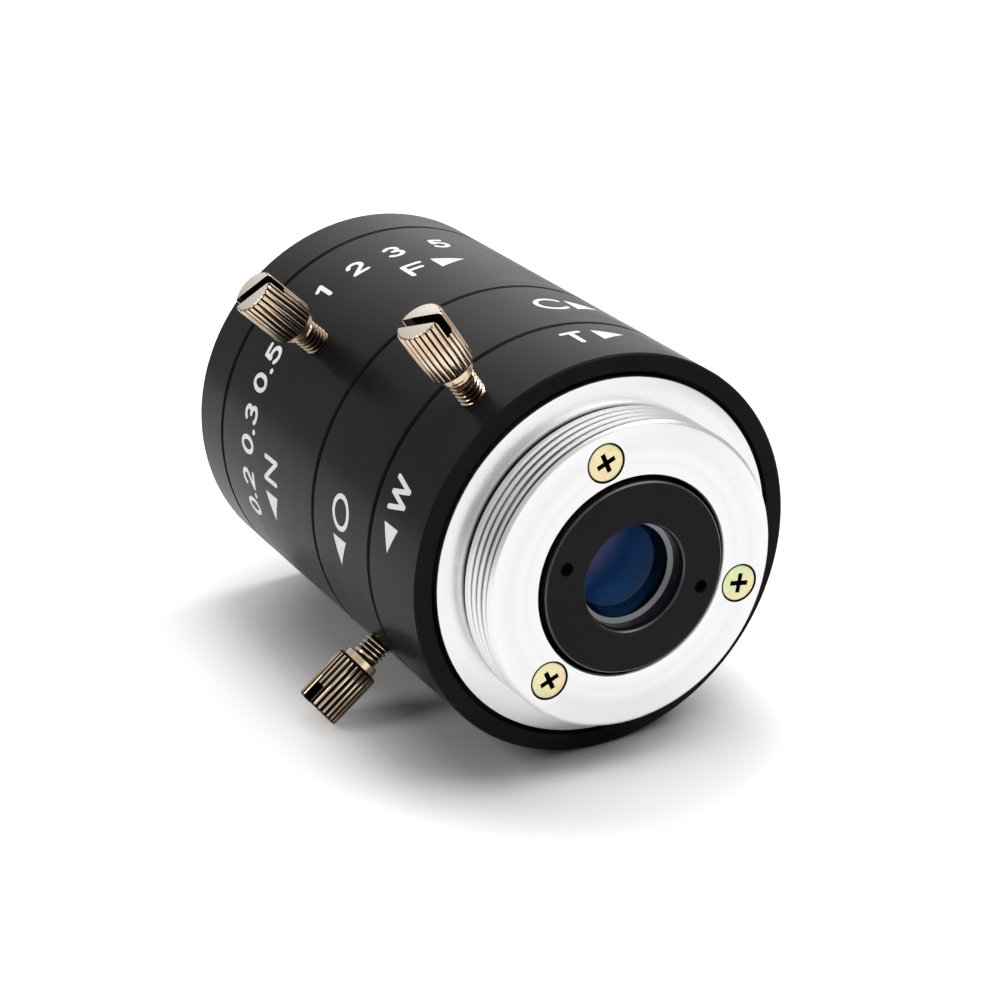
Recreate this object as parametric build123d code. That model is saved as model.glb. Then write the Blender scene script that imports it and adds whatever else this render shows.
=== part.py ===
"""Manual varifocal machine vision lens with a C-mount, lying on its side.

Row frame, in millimetres: the origin is the centre of the mount's flange face, +X runs
along the optical axis towards the camera, and +Z is up. A clock angle is a right-handed
turn about +X from straight up, so +90 degrees points along -Y.
"""
from build123d import *
from math import asin, atan2, cos, degrees, hypot, radians, sin, sqrt
import os

# Outer rings, front to rear
rim_wall = 1.45
ring_wall = 2.35
bezel_length = 4.95
focus_ring_length = 18.65
iris_ring_length = 10.15
zoom_ring_length = 7.9
ring_gap = 0.25
rim_setback = 0.1
ring_edge_chamfer = 0.15
ring_land_length = 2.2
ring_relief = 0.25

# Fixed barrel that carries everything
barrel_wall = 1.4
barrel_end_wall = 1.8
running_gap = 0.05
slot_gap = 0.06

# Mount: 1 inch across with 32 threads per inch, and its flange
mount_thread_r = 12.7
mount_thread_length = 4.1
mount_end_chamfer = 0.3
flange_land = 2.2
flange_thickness = 1.5
flange_edge_chamfer = 0.1
flange_moat = 0.4
mount_wall = 4.4

# Countersunk screws that hold the mount
mount_screw_count = 3
mount_screw_from_bore = 1.98
mount_screw_clock = 14.5
mount_screw_r = 0.8
mount_screw_head_r = 1.55
mount_screw_length = 7.0
mount_screw_hole_gap = 0.1
cross_width = 0.36
cross_length = 1.75
cross_depth = 0.7
cross_turns = (24.0, 23.0, -9.5)

# Filter thread and lip of the front bezel
bezel_wall = 1.5
filter_thread_depth = 2.3
bezel_lip = 0.9
bezel_front_chamfer = 0.3
lip_gap = 0.4

# Knurled lock screws, one on each turning ring
lock_screw_r = 1.15
lock_head_r = 1.97
lock_head_length = 5.0
lock_collar_r = 1.5
lock_collar_length = 0.65
lock_slot_width = 0.95
lock_slot_depth = 1.75
lock_tip_gap = 0.15
lock_thread_gap = 0.03
lock_head_chamfer = 0.25
knurl_count = 24
knurl_depth = 0.17
knurl_crest_share = 0.45
knurl_root_share = 0.72
focus_lock_from_front = 10.4
focus_lock_clock = 46.4
focus_lock_turn = 61.0
focus_lock_standoff = 2.8
iris_lock_from_front = 4.4
iris_lock_clock = 128.6
iris_lock_turn = 75.0
iris_lock_standoff = 2.5
zoom_lock_from_front = 3.5
zoom_lock_clock = 34.1
zoom_lock_turn = 34.0
zoom_lock_standoff = 3.05

# Follower pins, and how far they carry the glass
follower_clock = -90.0
follower_r = 0.7
follower_seat_depth = 2.0
follower_reach = 1.0
groove_top_gap = 0.25
groove_end_gap = 1.0
groove_sections = 7
focus_turn = 45.0
focus_travel = 1.5
focus_pin_from_front = 8.2
zoom_turn = 35.0
zoom_travel = 1.2
zoom_pin_from_front = 2.4

# Front group that focuses
front_cell_setback = 2.45
front_cell_length = 15.5
front_cell_wall = 1.35
front_lens_edge = 2.1
front_lens_land = 2.1
front_lens_outer_curve = 60.0
front_lens_inner_curve = 22.0
front_lock_width = 1.2
front_lock_land = 1.1
front_recess = 0.2
front_baffle_length = 2.3
front_baffle_steps = 3
inner_cell_wall = 3.95
inner_lens_land = 1.0
second_lens_edge = 4.0
second_lens_front_curve = 30.0
second_lens_rear_curve = 20.0
inner_spacer_length = 1.6
third_lens_edge = 2.2
third_lens_front_curve = 18.0
third_lens_rear_curve = 60.0
cell_lock_width = 1.4
tool_slot_width = 1.0
tool_slot_depth = 0.6

# Iris unit
iris_pin_from_front = 3.15
iris_turn = 28.0
blade_count = 6
blade_pivot_inset = 2.5
blade_half_width = 2.25
blade_thickness = 0.07
blade_span = 140.0
blade_rise = 1.7
blade_ratio = 0.5
blade_pin_r = 0.4
blade_pin_gap = 0.05
blade_pin_reach = 0.8
blade_end_space = 0.35
slot_steps = 4
iris_plate = 0.8
iris_clear_inset = 2.8
iris_wall = 0.8
drive_ring_thickness = 1.7
drive_ring_gap = 0.15
drive_pin_depth = 0.9
iris_cover_thickness = 0.6
iris_rib_width = 0.6
iris_rib_height = 0.6

# Rear group that zooms
rear_cell_front = -12.2
rear_collar_behind_pin = 0.9
rear_tube_end = 3.3
rear_tube_gap = 0.35
rear_tube_wall = 0.85
rear_lens_land = 1.1
rear_front_lens_inset = 0.15
rear_front_lens_edge = 2.2
rear_front_lens_curve = 24.0
rear_lock_width = 1.3
rear_web = 1.4
doublet_front_edge = 2.8
doublet_rear_edge = 2.0
doublet_front_curve = 20.0
cement_curve = 22.0
rear_spacer_length = 1.4
rear_lens_edge = 2.8
rear_lens_front_curve = 35.0
rear_lens_bulge = 1.35

# Black retaining ring at the rear
rear_ring_face = 4.45
rear_ring_chamfer = 0.12
rear_opening_inset = 2.65
rear_ledge_depth = 0.5
rear_ledge_width = 0.1
rear_seat_width = 0.38
rear_seat_depth = 1.65
rear_bevel_depth = 0.2
rear_glass_gap = 0.08
rear_lip_gap = 0.12
spanner_from_opening = 1.97
spanner_hole_r = 0.56
spanner_clock = 71.4
spanner_hole_depth = 0.8

# How far a cutting tool runs past the face that it opens
past = 1.0

# Radii that follow from the sizes above, from the mount outwards and then inwards
flange_r = mount_thread_r + flange_land
body_r = flange_r + flange_moat + rim_wall
barrel_r = body_r - ring_wall
barrel_bore_r = barrel_r - barrel_wall
mount_bore_r = mount_thread_r - mount_wall
mount_screw_circle_r = mount_bore_r + mount_screw_from_bore
filter_thread_r = body_r - bezel_wall
lock_shank_length = ring_wall + iris_lock_standoff - lock_tip_gap
ring_bore_r = barrel_r + running_gap
cell_r = barrel_bore_r - running_gap
follower_inner = barrel_bore_r - follower_seat_depth
follower_outer = barrel_r + follower_reach
front_lens_r = cell_r - front_cell_wall
front_lens_clear_r = front_lens_r - front_lens_land
front_lock_bore_r = front_lens_r - front_lock_land
inner_lens_r = cell_r - inner_cell_wall
inner_clear_r = inner_lens_r - inner_lens_land
iris_inner_r = barrel_bore_r - iris_wall
blade_pivot_circle_r = iris_inner_r - blade_pivot_inset
iris_clear_r = blade_pivot_circle_r - iris_clear_inset
rear_tube_r = mount_bore_r - rear_tube_gap
rear_lens_r = rear_tube_r - rear_tube_wall
rear_clear_r = rear_lens_r - rear_lens_land
rear_front_lens_r = rear_tube_r - rear_front_lens_inset
rear_front_clear_r = rear_front_lens_r - rear_lens_land
rear_lens_rear_curve = (rear_clear_r**2 + rear_lens_bulge**2) / (2 * rear_lens_bulge)
rear_opening_r = rear_lens_r - rear_opening_inset
rear_seat_r = rear_opening_r - rear_ledge_width - rear_seat_width
spanner_circle_r = rear_opening_r + spanner_from_opening

# Places along the axis that follow from the sizes above
zoom_rear = -rim_setback
zoom_front = zoom_rear - zoom_ring_length
iris_rear = zoom_front - ring_gap
iris_front = iris_rear - iris_ring_length
focus_rear = iris_front - ring_gap
focus_front = focus_rear - focus_ring_length
bezel_rear = focus_front - ring_gap
bezel_front = bezel_rear - bezel_length
barrel_rear = -flange_thickness
barrel_front = bezel_front + filter_thread_depth + bezel_lip
barrel_end_wall_front = barrel_rear - barrel_end_wall
focus_pin_x = focus_front + focus_pin_from_front
iris_pin_x = iris_front + iris_pin_from_front
zoom_pin_x = zoom_front + zoom_pin_from_front
drive_ring_front = iris_pin_x - drive_ring_thickness / 2
drive_ring_rear = iris_pin_x + drive_ring_thickness / 2
blade_pivot_x = drive_ring_front - blade_end_space - blade_rise
iris_plate_rear = blade_pivot_x - blade_end_space
iris_plate_front = iris_plate_rear - iris_plate
iris_wall_rear = drive_ring_rear + drive_ring_gap
front_cell_front = bezel_front + front_cell_setback
front_cell_rear = front_cell_front + front_cell_length
front_lens_front = front_cell_front + front_recess + front_lock_width
front_lens_rear = front_lens_front + front_lens_edge
second_lens_front = front_lens_rear + front_baffle_length
second_lens_rear = second_lens_front + second_lens_edge
third_lens_front = second_lens_rear + inner_spacer_length
third_lens_rear = third_lens_front + third_lens_edge
rear_collar_end = zoom_pin_x + rear_collar_behind_pin
rear_seat_rise = sqrt(rear_lens_rear_curve**2 - rear_seat_r**2) - sqrt(rear_lens_rear_curve**2 - rear_clear_r**2)
rear_lens_rear = rear_ring_face - rear_seat_depth - rear_lip_gap - rear_glass_gap - rear_seat_rise
rear_lens_front = rear_lens_rear - rear_lens_edge
doublet_rear = rear_lens_front - rear_spacer_length
doublet_split = doublet_rear - doublet_rear_edge
doublet_front = doublet_split - doublet_front_edge
rear_front_lens_rear = doublet_front - rear_web
rear_front_lens_front = rear_front_lens_rear - rear_front_lens_edge


def disc(x0, x1, r):
    """Solid cylinder on the optical axis from x0 to x1."""
    return Pos((x0 + x1) / 2, 0, 0) * Rot(0, 90, 0) * Cylinder(r, x1 - x0)


def tube(x0, x1, outer_r, inner_r):
    """Plain ring on the optical axis."""
    return disc(x0, x1, outer_r) - disc(x0, x1, inner_r)


def turned(*corners):
    """Solid of revolution about the axis from (x, radius) corners."""
    return revolve(make_face(Polyline(*corners, close=True)), Axis.X)


def on_radius(clock, x, shape):
    """Stands a shape, built along +Z from the axis, on the radius at a clock angle."""
    return Rot(clock, 0, 0) * Pos(x, 0, 0) * shape


def radial_rod(clock, x, r, inner, outer):
    """Round rod along a radius, between two distances from the axis."""
    return on_radius(clock, x, Pos(0, 0, (inner + outer) / 2) * Cylinder(r, outer - inner))


def sector(clock, half_turn, x0, x1, inner, outer):
    """Part of a ring that reaches half_turn to each side of a clock angle."""
    corners = [(x0, inner), (x1, inner), (x1, outer), (x0, outer)]
    face = make_face(Polyline(*corners, close=True))
    turned_face = revolve(face, Axis.X, 2 * half_turn)
    return Rot(clock + 90 - half_turn, 0, 0) * turned_face


def axial_slot(clock, x, r, travel, inner, outer):
    """Round-ended slot along the axis through a wall."""
    outline = SlotCenterToCenter(2 * travel, 2 * r)
    return on_radius(clock, x, Pos(0, 0, inner) * extrude(outline, outer - inner))


def helical_groove(clock, x, r, turn, travel, inner, outer):
    """Groove that moves a pin of radius r along the axis by travel over each turn."""
    end_turn = turn + degrees(asin(r / inner)) + groove_end_gap
    slope = travel / turn
    half = r / cos(atan2(travel, radians(turn) * inner)) + slot_gap
    faces = []
    for step in range(groove_sections):
        angle = -end_turn + 2 * end_turn * step / (groove_sections - 1)
        plane = Plane(origin=(x - slope * angle, 0, 0), x_dir=(1, 0, 0), z_dir=(0, -1, 0))
        outline = Pos(0, (inner + outer) / 2) * Rectangle(2 * half, outer - inner)
        faces.append(Rot(clock + angle, 0, 0) * (plane * outline))
    return loft(faces)


def turning_ring(x0, x1):
    """Outer ring that runs on the barrel on a land at each end, relieved between them."""
    ring = tube(x0, x1, body_r, ring_bore_r)
    ring -= disc(x0 + ring_land_length, x1 - ring_land_length, ring_bore_r + ring_relief)
    edges = [e for e in ring.edges().filter_by(GeomType.CIRCLE) if abs(e.radius - body_r) < 1e-6]
    return chamfer(edges, ring_edge_chamfer)


def lock_hole(clock, x):
    """Threaded hole for a lock screw."""
    return radial_rod(clock, x, lock_screw_r + lock_thread_gap, barrel_r - past, body_r + past)


def make_front_bezel():
    """Front trim ring: filter thread, lip, and the thread that holds it on the barrel."""
    lip_front = bezel_front + filter_thread_depth
    lip_r = cell_r + lip_gap
    c = bezel_front_chamfer
    e = ring_edge_chamfer
    return turned(
        (bezel_front, filter_thread_r + c),
        (bezel_front, body_r - c),
        (bezel_front + c, body_r),
        (bezel_rear - e, body_r),
        (bezel_rear, body_r - e),
        (bezel_rear, barrel_r),
        (barrel_front, barrel_r),
        (barrel_front, lip_r),
        (lip_front, lip_r),
        (lip_front, filter_thread_r),
        (bezel_front + c, filter_thread_r),
    )


def make_focus_ring():
    """Ring whose inner helical groove carries the front group."""
    ring = turning_ring(focus_front, focus_rear)
    ring -= lock_hole(focus_lock_clock, focus_front + focus_lock_from_front)
    ring -= helical_groove(
        follower_clock, focus_pin_x, follower_r, focus_turn, focus_travel,
        barrel_r - past, follower_outer + groove_top_gap,
    )
    return ring


def make_iris_ring():
    """Ring that turns the iris through one radial pin."""
    ring = turning_ring(iris_front, iris_rear)
    ring -= lock_hole(iris_lock_clock, iris_front + iris_lock_from_front)
    ring -= radial_rod(follower_clock, iris_pin_x, follower_r, barrel_r - past, follower_outer)
    return ring


def make_zoom_ring():
    """Rear ring: its helical groove carries the rear group, and it clears the flange."""
    ring = turning_ring(zoom_front, zoom_rear)
    ring -= disc(barrel_rear - rim_setback, zoom_rear, flange_r + flange_moat)
    ring -= lock_hole(zoom_lock_clock, zoom_front + zoom_lock_from_front)
    ring -= helical_groove(
        follower_clock, zoom_pin_x, follower_r, zoom_turn, zoom_travel,
        barrel_r - past, follower_outer + groove_top_gap,
    )
    return ring


def make_main_barrel():
    """Fixed barrel with guide slots, a rib that seats the iris, and a rear end wall."""
    rib_r = barrel_bore_r - iris_rib_height
    barrel = disc(barrel_front, barrel_rear, barrel_r)
    barrel -= disc(barrel_front, iris_plate_front - iris_rib_width, barrel_bore_r)
    barrel -= disc(barrel_front, iris_plate_front, rib_r)
    barrel -= disc(iris_plate_front, barrel_end_wall_front, barrel_bore_r)
    barrel -= disc(barrel_end_wall_front, barrel_rear, mount_bore_r)
    slot_r = follower_r + slot_gap
    inner = barrel_bore_r - past
    outer = barrel_r + past
    barrel -= axial_slot(follower_clock, focus_pin_x, slot_r, focus_travel, inner, outer)
    barrel -= axial_slot(follower_clock, zoom_pin_x, slot_r, zoom_travel, inner, outer)
    barrel -= iris_window(inner, outer)
    for clock in mount_screw_clocks():
        barrel -= mount_screw_shank(clock, mount_screw_r)
    return barrel


def iris_window(inner, outer):
    """Slot round the barrel that lets the iris pin swing."""
    half_turn = iris_turn + degrees(asin((follower_r + slot_gap) / inner)) + groove_end_gap
    half = follower_r + slot_gap
    return sector(follower_clock, half_turn, iris_pin_x - half, iris_pin_x + half, inner, outer)


def mount_screw_clocks():
    """Clock angles of the screws in the mount's end face."""
    return [mount_screw_clock + k * 360 / mount_screw_count for k in range(mount_screw_count)]


def mount_screw_shank(clock, r):
    """Round shank of a mount screw, from the end face into the barrel's end wall."""
    return on_radius(
        clock, 0,
        Pos(0, 0, mount_screw_circle_r)
        * disc(mount_thread_length - mount_screw_length, mount_thread_length, r),
    )


def mount_screw_cone(clock, gap):
    """Right-angled countersink whose mouth lies in the end face."""
    r = mount_screw_head_r + gap
    base = mount_thread_length
    cone = turned((base, 0), (base, r), (base - r, 0))
    return on_radius(clock, 0, Pos(0, 0, mount_screw_circle_r) * cone)


def make_c_mount_adapter():
    """Flange and mount thread in one piece, bored for the rear group."""
    c = mount_end_chamfer
    e = flange_edge_chamfer
    adapter = turned(
        (barrel_rear, mount_bore_r),
        (barrel_rear, flange_r - e),
        (barrel_rear + e, flange_r),
        (-e, flange_r),
        (0, flange_r - e),
        (0, mount_thread_r),
        (mount_thread_length - c, mount_thread_r),
        (mount_thread_length, mount_thread_r - c),
        (mount_thread_length, mount_bore_r),
    )
    for clock in mount_screw_clocks():
        adapter -= mount_screw_shank(clock, mount_screw_r + mount_screw_hole_gap)
        adapter -= mount_screw_cone(clock, 0)
    return adapter


def make_mount_screws():
    """Countersunk screws with a cross recess."""
    screws = []
    for clock, cross_turn in zip(mount_screw_clocks(), cross_turns):
        screw = mount_screw_shank(clock, mount_screw_r) + mount_screw_cone(clock, 0)
        arm = Box(2 * cross_depth, cross_length, cross_width)
        cross = arm + Rot(90, 0, 0) * arm
        place = Rot(clock, 0, 0) * Pos(mount_thread_length, 0, mount_screw_circle_r)
        screws.append(screw - place * Rot(cross_turn - clock, 0, 0) * cross)
    return screws


def knurled_head():
    """Straight-knurled round head, chamfered at both ends, standing on the XY plane."""
    points = []
    for k in range(knurl_count):
        for share, depth in ((0, 0), (knurl_crest_share, 0), (knurl_root_share, knurl_depth)):
            angle = radians(360 * (k + share) / knurl_count)
            r = lock_head_r - depth
            points.append((r * cos(angle), r * sin(angle)))
    head = extrude(make_face(Polyline(*points, close=True)), lock_head_length)
    c = lock_head_chamfer
    profile = Polyline(
        (0, 0),
        (lock_head_r - c, 0),
        (lock_head_r, c),
        (lock_head_r, lock_head_length - c),
        (lock_head_r - c, lock_head_length),
        (0, lock_head_length),
        close=True,
    )
    return head & revolve(make_face(Plane.XZ * profile), Axis.Z)


def make_lock_screw(clock, x, standoff, screw_turn):
    """Knurled thumb screw with a collar, a screwdriver slot and a threaded shank."""
    base = body_r + standoff
    top = base + lock_head_length
    head = Pos(0, 0, base) * knurled_head()
    collar = Pos(0, 0, base - lock_collar_length / 2) * Cylinder(lock_collar_r, lock_collar_length)
    shank = Pos(0, 0, base - lock_shank_length / 2) * Cylinder(lock_screw_r, lock_shank_length)
    slot = Pos(0, 0, top) * Box(3 * lock_head_r, lock_slot_width, 2 * lock_slot_depth)
    return on_radius(clock, x, Rot(0, 0, screw_turn) * (head + collar + shank - slot))


def lens_edge_arc(x, r, curve, side):
    """Apex and mid-point of a lens face: side is -1 at the front and +1 at the rear."""
    sag = abs(curve) - sqrt(curve**2 - r**2)
    mid_sag = abs(curve) - sqrt(curve**2 - r**2 / 4)
    bulge = side if curve > 0 else -side
    apex = x + bulge * sag
    return apex, apex - bulge * mid_sag


def make_lens(front, rear, edge_r, front_clear, front_curve, rear_clear, rear_curve):
    """Lens with flat lands outside its clear faces. A curve of 0 is flat, below 0 hollow."""
    edges = []
    start = (front, 0)
    if front_curve:
        apex, mid = lens_edge_arc(front, front_clear, front_curve, -1)
        start = (apex, 0)
        edges.append(ThreePointArc(start, (mid, front_clear / 2), (front, front_clear)))
    else:
        edges.append(Line(start, (front, front_clear)))
    if edge_r > front_clear:
        edges.append(Line((front, front_clear), (front, edge_r)))
    edges.append(Line((front, edge_r), (rear, edge_r)))
    if edge_r > rear_clear:
        edges.append(Line((rear, edge_r), (rear, rear_clear)))
    end = (rear, 0)
    if rear_curve:
        apex, mid = lens_edge_arc(rear, rear_clear, rear_curve, 1)
        end = (apex, 0)
        edges.append(ThreePointArc((rear, rear_clear), (mid, rear_clear / 2), end))
    else:
        edges.append(Line((rear, rear_clear), end))
    edges.append(Line(end, start))
    return revolve(make_face(edges), Axis.X)


def make_lock_ring(x0, x1, outer_r, inner_r, slot_side):
    """Threaded lock ring with two tool slots across one face."""
    ring = tube(x0, x1, outer_r, inner_r)
    face = x0 if slot_side < 0 else x1
    slot = Pos(face, 0, 0) * Box(2 * tool_slot_depth, tool_slot_width, 2 * (outer_r + past))
    return ring - slot


def make_front_cell():
    """Sliding cell of the front group, with a stepped baffle behind the front lens."""
    cell = disc(front_cell_front, front_cell_rear, cell_r)
    cell -= disc(front_cell_front, front_lens_rear, front_lens_r)
    for step in range(front_baffle_steps):
        share = step / front_baffle_steps
        x = front_lens_rear + front_baffle_length * share
        r = front_lens_clear_r - (front_lens_clear_r - inner_clear_r) * share
        cell -= disc(x, second_lens_front, r)
    cell -= disc(second_lens_front, front_cell_rear, inner_lens_r)
    cell -= radial_rod(follower_clock, focus_pin_x, follower_r, follower_inner, barrel_bore_r)
    return cell


def make_follower_pin(x):
    """Pin that sits in a cell, passes the barrel's slot and runs in a ring's groove."""
    return radial_rod(follower_clock, x, follower_r, follower_inner, follower_outer)


def make_iris_housing():
    """Cup with the six blade pivots in its plate and a window in its wall."""
    housing = disc(iris_plate_front, iris_wall_rear, barrel_bore_r)
    housing -= disc(iris_plate_rear, iris_wall_rear, iris_inner_r)
    housing -= disc(iris_plate_front, iris_wall_rear, iris_clear_r)
    housing -= iris_window(iris_inner_r - past, barrel_bore_r + past)
    hole_r = blade_pin_r + blade_pin_gap
    for k in range(blade_count):
        hole = Pos(0, blade_pivot_circle_r, 0) * disc(iris_plate_front, iris_plate_rear, hole_r)
        housing -= Rot(360 * k / blade_count, 0, 0) * hole
    return housing


def blade_drive_point(swing):
    """Drive pin's place, in the blade plane, after the blade has swung about its pivot."""
    r = blade_pivot_circle_r
    end_y = r * cos(radians(blade_span)) - r
    end_z = r * sin(radians(blade_span))
    c = cos(radians(swing))
    s = sin(radians(swing))
    return r + end_y * c - end_z * s, end_y * s + end_z * c


def make_iris_blade(index):
    """Thin arc blade that climbs from its pivot to its drive pin, so that all six nest."""
    r = blade_pivot_circle_r
    swing = blade_ratio * iris_turn
    end_y, end_z = blade_drive_point(0)
    reach = hypot(end_y - r, end_z)
    heading = degrees(atan2(end_z, end_y - r))
    tilt = atan2(blade_rise, reach)
    sheet = extrude(SlotArc(CenterArc((0, 0), r, 0, blade_span), 2 * blade_half_width), blade_thickness)
    blade = Rot(0, 0, heading) * Rot(0, -degrees(tilt), 0) * Rot(0, 0, -heading) * Pos(-r, 0, 0) * sheet
    pivot_length = blade_end_space + iris_plate
    blade += Pos(0, 0, blade_thickness - pivot_length / 2) * Cylinder(blade_pin_r, pivot_length)
    drive_length = blade_end_space + drive_ring_thickness * blade_pin_reach
    drive_place = Pos(end_y - r, end_z, blade_rise + drive_length / 2)
    blade += drive_place * Cylinder(blade_pin_r, drive_length)
    swung = Pos(r, 0, 0) * Rot(0, 0, swing) * blade
    upright = Location(Plane(origin=(blade_pivot_x, 0, 0), x_dir=(0, 1, 0), z_dir=(1, 0, 0)))
    return Rot(360 * index / blade_count, 0, 0) * (upright * swung)


def make_iris_drive_ring():
    """Ring whose slots swing the blades as the iris ring turns it."""
    r = iris_inner_r - running_gap
    ring = tube(drive_ring_front, drive_ring_rear, r, iris_clear_r)
    ring -= radial_rod(follower_clock, iris_pin_x, follower_r, r - drive_pin_depth, r + past)
    slot = blade_slot()
    for k in range(blade_count):
        ring -= Rot(360 * k / blade_count, 0, 0) * slot
    return ring


def blade_slot():
    """Slot that the drive pin sweeps in the drive ring over the whole iris travel."""
    outline = []
    for step in range(slot_steps + 1):
        ring_angle = -iris_turn + 2 * iris_turn * step / slot_steps
        y, z = blade_drive_point(blade_ratio * (ring_angle + iris_turn))
        c = cos(radians(ring_angle))
        s = sin(radians(ring_angle))
        place = Pos(y * c + z * s, z * c - y * s)
        outline += (place * Circle(blade_pin_r + blade_pin_gap)).edges()
    upright = Location(Plane(origin=(drive_ring_front, 0, 0), x_dir=(0, 1, 0), z_dir=(1, 0, 0)))
    return upright * extrude(make_hull(outline), drive_ring_thickness)


def make_rear_cell():
    """Sliding cell of the rear group: a collar in the barrel and a tube through the mount."""
    cell = disc(rear_cell_front, rear_collar_end, cell_r) + disc(rear_collar_end, rear_tube_end, rear_tube_r)
    cell -= disc(rear_cell_front, rear_front_lens_rear, rear_front_lens_r)
    cell -= disc(rear_cell_front, rear_tube_end, rear_clear_r)
    cell -= disc(doublet_front, rear_tube_end, rear_lens_r)
    cell -= radial_rod(follower_clock, zoom_pin_x, follower_r, follower_inner, barrel_bore_r)
    return cell


def make_rear_retaining_ring():
    """Black ring that closes the rear cell: two spanner holes and a bevelled lens seat."""
    seat = rear_ring_face - rear_seat_depth
    bevel = seat + rear_bevel_depth
    ledge = rear_ring_face - rear_ledge_depth
    c = rear_ring_chamfer
    ring = turned(
        (rear_lens_rear, rear_clear_r + rear_lip_gap),
        (rear_lens_rear, rear_lens_r),
        (rear_tube_end, rear_lens_r),
        (rear_tube_end, rear_tube_r),
        (rear_ring_face - c, rear_tube_r),
        (rear_ring_face, rear_tube_r - c),
        (rear_ring_face, rear_opening_r + rear_lip_gap),
        (rear_ring_face - rear_lip_gap, rear_opening_r),
        (ledge, rear_opening_r),
        (ledge, rear_opening_r - rear_ledge_width),
        (bevel, rear_opening_r - rear_ledge_width),
        (seat, rear_seat_r),
        (seat - rear_lip_gap, rear_seat_r),
    )
    for half in (0, 180):
        hole = Pos(0, 0, spanner_circle_r) * disc(
            rear_ring_face - spanner_hole_depth, rear_ring_face, spanner_hole_r
        )
        ring -= on_radius(spanner_clock + half, 0, hole)
    return ring


def make_all():
    """Every piece of the lens by name."""
    parts = {
        "front_bezel": make_front_bezel(),
        "focus_ring": make_focus_ring(),
        "iris_ring": make_iris_ring(),
        "zoom_ring": make_zoom_ring(),
        "main_barrel": make_main_barrel(),
        "c_mount_adapter": make_c_mount_adapter(),
        "mount_screws": Compound(children=make_mount_screws()),
        "focus_lock_screw": make_lock_screw(
            focus_lock_clock, focus_front + focus_lock_from_front, focus_lock_standoff, focus_lock_turn
        ),
        "iris_lock_screw": make_lock_screw(
            iris_lock_clock, iris_front + iris_lock_from_front, iris_lock_standoff, iris_lock_turn
        ),
        "zoom_lock_screw": make_lock_screw(
            zoom_lock_clock, zoom_front + zoom_lock_from_front, zoom_lock_standoff, zoom_lock_turn
        ),
        "front_cell": make_front_cell(),
        "front_lock_ring": make_lock_ring(
            front_cell_front + front_recess, front_lens_front, front_lens_r, front_lock_bore_r, -1
        ),
        "front_lens": make_lens(
            front_lens_front, front_lens_rear, front_lens_r,
            front_lens_clear_r, front_lens_outer_curve, front_lens_clear_r, -front_lens_inner_curve,
        ),
        "second_lens": make_lens(
            second_lens_front, second_lens_rear, inner_lens_r,
            inner_clear_r, -second_lens_front_curve, inner_clear_r, -second_lens_rear_curve,
        ),
        "inner_spacer": tube(second_lens_rear, third_lens_front, inner_lens_r, inner_clear_r),
        "third_lens": make_lens(
            third_lens_front, third_lens_rear, inner_lens_r,
            inner_clear_r, third_lens_front_curve, inner_clear_r, -third_lens_rear_curve,
        ),
        "inner_lock_ring": make_lock_ring(
            third_lens_rear, third_lens_rear + cell_lock_width, inner_lens_r, inner_clear_r, 1
        ),
        "focus_follower_pin": make_follower_pin(focus_pin_x),
        "zoom_follower_pin": make_follower_pin(zoom_pin_x),
        "iris_housing": make_iris_housing(),
        "iris_drive_ring": make_iris_drive_ring(),
        "iris_drive_pin": radial_rod(
            follower_clock, iris_pin_x, follower_r,
            iris_inner_r - running_gap - drive_pin_depth, follower_outer,
        ),
        "iris_cover": tube(
            iris_wall_rear, iris_wall_rear + iris_cover_thickness, barrel_bore_r, iris_clear_r
        ),
        "rear_cell": make_rear_cell(),
        "rear_group_lock_ring": make_lock_ring(
            rear_front_lens_front - rear_lock_width, rear_front_lens_front,
            rear_front_lens_r, rear_front_clear_r, -1,
        ),
        "fourth_lens": make_lens(
            rear_front_lens_front, rear_front_lens_rear, rear_front_lens_r,
            rear_front_clear_r, rear_front_lens_curve, rear_front_clear_r, 0,
        ),
        "doublet_front_lens": make_lens(
            doublet_front, doublet_split, rear_lens_r,
            rear_clear_r, doublet_front_curve, rear_lens_r, cement_curve,
        ),
        "doublet_rear_lens": make_lens(
            doublet_split, doublet_rear, rear_lens_r,
            rear_lens_r, -cement_curve, rear_clear_r, 0,
        ),
        "rear_spacer": tube(doublet_rear, rear_lens_front, rear_lens_r, rear_clear_r),
        "rear_lens": make_lens(
            rear_lens_front, rear_lens_rear, rear_lens_r,
            rear_clear_r, rear_lens_front_curve, rear_clear_r, rear_lens_rear_curve,
        ),
        "rear_retaining_ring": make_rear_retaining_ring(),
    }
    for index in range(blade_count):
        parts[f"iris_blade_{index + 1}"] = make_iris_blade(index)
    return parts


os.makedirs("parts", exist_ok=True)
for name, shape in make_all().items():
    export_step(shape, f"parts/{name}.step")
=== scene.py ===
"""Looks of a manual varifocal machine vision lens that lies on its side on a white table.

Metres, in the same frame as the solids: the optical axis is X, the mount's flange face is
x = 0 and the camera side is +X. A clock angle turns about +X from straight up, so +90
degrees points along -Y.
"""
from math import atan2, cos, pi, radians, sin, sqrt

import bmesh
import bpy
from mathutils import Matrix, Vector


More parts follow.
